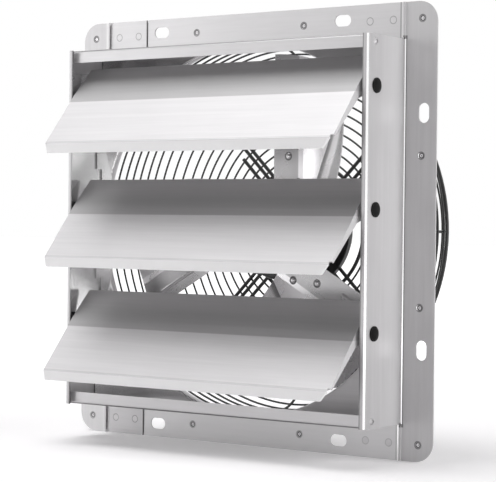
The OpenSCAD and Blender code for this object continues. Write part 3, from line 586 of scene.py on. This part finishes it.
# Tones of the painted reflections: bright on the curve, grey on the flat band, dark to light on the tail past
# the crease
CURVE_TONES = (0.86, 0.96)
BAND_TONES = (0.44, 0.52)
TAIL_WAVE = (-1.2, 1.2)
TAIL_SCALE = 0.05
TAIL_TONES = ((0, 0.95), (0.02, 0.24), (0.2, 0.36), (0.35, 0.85), (0.68, 0.95), (0.78, 0.72), (0.84, 0.5))
BLADE_RIVETS = ((16, 63.5), (26.5, 41))
# Ring of painted shade round each of the blade's rivets
BLADE_RIVET_RIM = (4.0, 3.3)
BLADE_RIVET_TONE = 0.1
BLADE_GRAIN = (1, 1, 0.05)
BLADE_ROUGH = (0.2, 0.34)


def polished_blade(name, degrees):
    """A pressed blade with its reflections painted in: a grey flat band, a bright curve, then a crease with a
    darker, streaked tail, and rings of painted shade round the rivets.
    """
    p = Paint(name)
    turn = math.radians(degrees)
    across = p.along((math.cos(turn), 0, math.sin(turn)))
    along = p.along((-math.sin(turn), 0, math.cos(turn)))
    level = p.math("SUBTRACT", across, p.math("MULTIPLY", along, CREASE_SLOPE))
    past = p.math("SUBTRACT", level, BLADE_CREASE)
    waved = p.math("ADD", past, p.spread(p.noise(scale=40), *TAIL_WAVE))
    # Painted reflections: bright on the curve, grey on the flat band, dark to light on the tail
    curve = p.ramp(p.noise(scale=14), *map(grey, CURVE_TONES))
    band = p.ramp(p.noise(scale=22), *map(grey, BAND_TONES))
    tone = p.mix(p.rise(across, *BLADE_BAND), band, curve)
    tone = p.mix(p.rise(past, *CREASE_SOFT), tone, p.greys(p.math("MULTIPLY", waved, TAIL_SCALE), TAIL_TONES))
    # Painted shade in rings round the rivets
    for gap in p.gaps(across, along, BLADE_RIVETS):
        tone = p.mix(p.rise(gap, *BLADE_RIVET_RIM), tone, grey(BLADE_RIVET_TONE))
    lines = p.bump(p.noise(LINES, BLADE_GRAIN, detail=4), LINES_DEPTH, strength=0.15)
    return p.use(tone, p.worn(SMUDGES, *BLADE_ROUGH, detail=4), lines, metal=0.85)


# Fasteners and small turned pieces

SCREW_SCALE = 0.25
# Painted shade and painted highlight across the screw head, by distance from its middle
SCREW_TONES = ((0, 0.12), (0.12, 0.2), (0.19, 0.9), (0.3, 0.8),
               (0.37, 0.1), (0.54, 0.14), (0.62, 0.5), (0.7, 0.1))
# Painted shade and painted highlight on the rivet dome, by how squarely it faces out
DOME_TONES = ((0.3, 0.1), (0.7, 0.2), (0.88, 0.5), (0.96, 0.95), (1, 0.8))
TURNED = 700
TURNED_DEPTH = 0.00001
TURNED_SMUDGES = 200
AXIS_LINES = (1, 8, 1)


def turned_head(p, tone):
    """The finish of the screws' and rivets' heads."""
    normal = p.bump(p.noise(TURNED), TURNED_DEPTH, strength=0.4)
    return p.use(tone, p.worn(TURNED_SMUDGES, low=0.2, high=0.35), normal, metal=0.9)


def flush_screw(name):
    """A countersunk head: painted shade on the rim and in the recess, a painted highlight between them."""
    p = Paint(name)
    return turned_head(p, p.greys(p.math("MULTIPLY", p.nearest(SCREWS), SCREW_SCALE), SCREW_TONES))


def domed_rivet(name):
    """A turned rivet head: painted shade on its slope beside a painted highlight on the crown."""
    p = Paint(name)
    return turned_head(p, p.greys(p.facing("Y"), DOME_TONES))


def machined(name, low, high):
    """Turned steel with fine lines across the fan's axis."""
    p = Paint(name)
    tone = p.ramp(p.noise(scale=80), grey(low), grey(high))
    normal = p.bump(p.noise(TURNED, AXIS_LINES), TURNED_DEPTH, strength=0.4)
    return p.use(tone, p.worn(TURNED_SMUDGES, low=0.22, high=0.36), normal, metal=1.0)


# Guard, motor and nylon

COAT_DARK = 0.85
COAT_LIGHT = 1.5
COAT_SMUDGES = 60
COAT_ROUGH = (0.38, 0.52)
PEEL_DEPTH = 0.00004
NYLON_DARK = 0.8
NYLON_LIGHT = 1.6
GRAIN_DEPTH = 0.00003
CORE_DARK = 0.1
CORE_LIGHT = 0.32
CORE_DEPTH = 0.0001
COPPER_DARK = (0.16, 0.04, 0.012)
COPPER_LIGHT = (0.55, 0.2, 0.07)
STRAND_LINES = (1, 6, 1)
STRAND_DEPTH = 0.0003


def powder_coat(name, value, rough=COAT_ROUGH):
    """Black paint with a fine orange peel and a little dust."""
    p = Paint(name)
    tone = p.ramp(p.noise(scale=22, detail=4), grey(value * COAT_DARK), grey(value * COAT_LIGHT))
    peel = p.bump(p.noise(scale=1400, detail=2), PEEL_DEPTH, strength=0.5)
    return p.use(tone, p.worn(COAT_SMUDGES, *rough), peel, coat=0.15)


def moulded_nylon(name, value):
    """Dull black plastic with a fine grain."""
    p = Paint(name)
    tone = p.ramp(p.noise(scale=40), grey(value * NYLON_DARK), grey(value * NYLON_LIGHT))
    grain = p.bump(p.noise(scale=2600, detail=2), GRAIN_DEPTH, strength=0.5)
    return p.use(tone, p.worn(scale=120, low=0.5, high=0.68), grain, specular=0.12)


def laminated(name):
    """Stacked steel sheets, seen as lines across the fan's axis."""
    p = Paint(name)
    wave = p.node("ShaderNodeTexWave", bands_direction="Y")
    wave.inputs["Scale"].default_value = 320
    wave.inputs["Distortion"].default_value = 0.4
    p.link(p.coords.outputs["Object"], wave.inputs["Vector"])
    sheets = wave.outputs["Fac"]
    tone = p.ramp(sheets, grey(CORE_DARK), grey(CORE_LIGHT))
    normal = p.bump(sheets, CORE_DEPTH, strength=0.6)
    return p.use(tone, p.worn(scale=90, low=0.35, high=0.55), normal, metal=0.9)


def wound_copper(name):
    """Varnished winding wire."""
    p = Paint(name)
    strands = p.noise(scale=900, stretch=STRAND_LINES, rough=0.7)
    tone = p.ramp(strands, COPPER_DARK, COPPER_LIGHT)
    normal = p.bump(strands, STRAND_DEPTH, strength=0.8)
    return p.use(tone, p.worn(scale=200, low=0.25, high=0.45), normal, metal=0.9, coat=0.4)


# Which pieces have which material

UPRIGHT = (1, 1, 0.04)
LEVEL = (0.04, 1, 1)
LOUVER_GRAIN = (0.03, 1, 1)
LOUVER_ROUGH = (0.45, 0.54)
MOTOR_ROUGH = (0.28, 0.42)

FINISH = (
    (brushed("rail_aluminium", 0.55, 0.59, UPRIGHT, metal=0.4, marks=side_marks),
     ("left_rail", "right_rail")),
    (brushed("cross_rail_aluminium", 0.61, 0.65, LEVEL, metal=0.45, marks=cross_marks),
     ("top_rail", "bottom_rail", "corner_gussets")),
    (brushed("splice_aluminium", 0.6, 0.64, LEVEL, metal=0.45, marks=splice_marks),
     ("splice_plates",)),
    (brushed("panel_aluminium", 0.72, 0.8, LEVEL, metal=0.3, marks=panel_marks),
     ("orifice_panel",)),
    (brushed("louver_aluminium", 0.7, 0.74, LOUVER_GRAIN, metal=0.16, rough=LOUVER_ROUGH, marks=louver_marks),
     ("top_louver", "middle_louver", "bottom_louver")),
    (polished_blade("blade_aluminium_1", 0), ("blade_1",)),
    (polished_blade("blade_aluminium_2", 120), ("blade_2",)),
    (polished_blade("blade_aluminium_3", 240), ("blade_3",)),
    (flush_screw("screw_zinc"), ("corner_screws", "guard_screws")),
    (domed_rivet("dome_aluminium"), ("blade_rivets", "hub_rivets")),
    (machined("zinc_steel", 0.5, 0.62),
     ("flange_nuts", "housing_screws", "motor_bolts", "hub_set_screw",
      "top_louver_pins", "middle_louver_pins", "bottom_louver_pins")),
    (brushed("rivet_aluminium", 0.69, 0.73, EVEN, metal=0.3), ("corner_rivets",)),
    (machined("bright_steel", 0.5, 0.6), ("spider", "hub", "motor_shaft", "front_bearing", "rear_bearing")),
    (moulded_nylon("black_nylon", 0.008), ("pivot_bushings", "pivot_caps", "cable_gland")),
    (powder_coat("black_wire", 0.012),
     ("guard_side_rings", "guard_back_rings", "guard_center_ring", "guard_rods", "guard_stays",
      "guard_spreaders", "guard_feet")),
    (powder_coat("motor_black", 0.018, rough=MOTOR_ROUGH),
     ("motor_plate", "motor_rear_bell", "motor_can", "motor_front_bell")),
    (laminated("core_steel"), ("stator_core", "rotor_core")),
    (wound_copper("coil_copper"), ("stator_coils",)),
)

for material, names in FINISH:
    for name in names:
        mesh = NODES[name].data
        mesh.materials.clear()
        mesh.materials.append(material)

# Backdrop, floor and light

AMBIENT = 0.13
AMBIENT_COLOR = (1, 0.985, 1)
FLOOR_GAP = 0.0004
FLOOR_REACH = 12
FLOOR_CORNERS = ((-1, -1), (1, -1), (1, 1), (-1, 1))
FLOOR_TONES = (0.88, 0.9)
FLOOR_LIFT = 0.2
FLOOR_FADE = (0.3, 1.8)


def add_world():
    """White for camera, glossy and transmission rays, and a dim light for all others."""
    world = bpy.data.worlds.new("studio")
    bpy.context.scene.world = world
    world.use_nodes = True
    tree = world.node_tree
    tree.nodes.clear()
    path = tree.nodes.new("ShaderNodeLightPath")
    seen = path.outputs["Is Camera Ray"]
    for ray in ("Is Glossy Ray", "Is Transmission Ray"):
        either = tree.nodes.new("ShaderNodeMath")
        either.operation = "MAXIMUM"
        tree.links.new(seen, either.inputs[0])
        tree.links.new(path.outputs[ray], either.inputs[1])
        seen = either.outputs[0]
    pick = tree.nodes.new("ShaderNodeMixShader")
    tree.links.new(seen, pick.inputs[0])
    for socket, color, strength in ((pick.inputs[1], AMBIENT_COLOR, AMBIENT), (pick.inputs[2], WHITE, 1)):
        light = tree.nodes.new("ShaderNodeBackground")
        light.inputs["Color"].default_value = (*color, 1)
        light.inputs["Strength"].default_value = strength
        tree.links.new(light.outputs[0], socket)
    out = tree.nodes.new("ShaderNodeOutputWorld")
    tree.links.new(pick.outputs[0], out.inputs[0])


def add_floor():
    """A light floor that fades into the white backdrop away from the part."""
    z = CAD_BOX[0][2] - FLOOR_GAP
    mesh = bpy.data.meshes.new("floor")
    mesh.from_pydata([(x * FLOOR_REACH, y * FLOOR_REACH, z) for x, y in FLOOR_CORNERS], [], [(0, 1, 2, 3)])
    floor = bpy.data.objects.new("floor", mesh)
    bpy.context.scene.collection.objects.link(floor)
    p = Paint("floor")
    tone = p.ramp(p.noise(scale=3), *map(grey, FLOOR_TONES))
    p.use(tone, p.worn(scale=5, low=0.7, high=0.8), specular=0.1)
    away = p.node("ShaderNodeVectorMath", operation="LENGTH")
    p.link(p.coords.outputs["Object"], away.inputs[0])
    lift = p.node("ShaderNodeEmission")
    p.link(p.spread(p.rise(away.outputs["Value"], *FLOOR_FADE), FLOOR_LIFT, 1), lift.inputs["Strength"])
    both = p.node("ShaderNodeAddShader")
    p.link(p.shader.outputs[0], both.inputs[0])
    p.link(lift.outputs[0], both.inputs[1])
    path = p.node("ShaderNodeLightPath")
    pick = p.node("ShaderNodeMixShader")
    p.link(p.any_of(path.outputs["Is Camera Ray"], path.outputs["Is Glossy Ray"]), pick.inputs[0])
    p.link(p.shader.outputs[0], pick.inputs[1])
    p.link(both.outputs[0], pick.inputs[2])
    p.link(pick.outputs[0], p.tree.nodes["Material Output"].inputs["Surface"])
    mesh.materials.append(p.mat)


def add_lamp(name, place, size, power, mirrored=True):
    """A round lamp that points at the part's middle. Metal reflects it where it is mirrored."""
    data = bpy.data.lights.new(name, "AREA")
    data.shape = "DISK"
    data.size = size
    data.energy = power
    lamp = bpy.data.objects.new(name, data)
    bpy.context.scene.collection.objects.link(lamp)
    lamp.location = place
    lamp.rotation_mode = "QUATERNION"
    lamp.rotation_quaternion = Vector(place).to_track_quat("Z", "Y")
    lamp.visible_glossy = mirrored


add_world()
add_floor()

add_lamp("key", (-0.55, -0.35, 1.85), size=1.5, power=27)
add_lamp("front", (-1.5, -0.9, 0.2), size=1.4, power=7.5)
add_lamp("side", (2.0, 0.3, 0.5), size=1.4, power=32, mirrored=False)
add_lamp("rim", (-0.7, 1.1, 1.5), size=0.8, power=3)

bpy.context.scene.view_settings.view_transform = "Standard"
